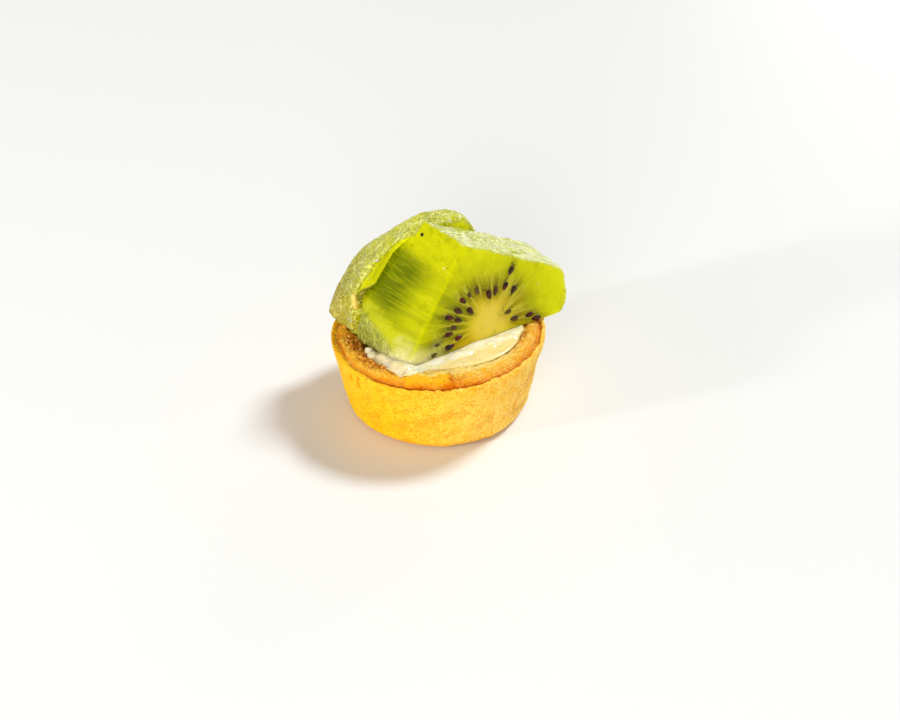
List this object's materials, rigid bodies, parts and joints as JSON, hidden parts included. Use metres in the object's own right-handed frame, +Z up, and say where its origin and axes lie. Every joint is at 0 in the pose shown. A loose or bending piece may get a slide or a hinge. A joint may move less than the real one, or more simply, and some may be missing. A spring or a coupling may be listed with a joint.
{
  "type": "fruit tart",
  "caption": "Small round kiwi tartlet: straight-sided pastry cup with a thick crumbly rim, custard cream and peeled kiwi chunks standing on it.",
  "frame": {"origin": "middle of the flat underside of the crust", "axes": "+Z up out of the tart; the kiwi's seeded cut face looks towards -Y and a little towards +X; the shorter chunk stands behind it at -X +Y"},
  "size_m": [0.0557, 0.05, 0.0454],
  "materials": {
    "crust": "baked, dry and crumbly, golden with browner edges",
    "cream": "smooth, moist, glossy",
    "kiwi_cut": "wet cut fruit with dark seeds, glazed",
    "kiwi_peeled": "peeled fruit with fine pale fibres, glazed"
  },
  "bodies": {
    "root": {"pastry_shell": "crust", "custard_cream": "cream", "kiwi_front": "kiwi_cut", "kiwi_back": "kiwi_peeled"}
  },
  "joints": []
}
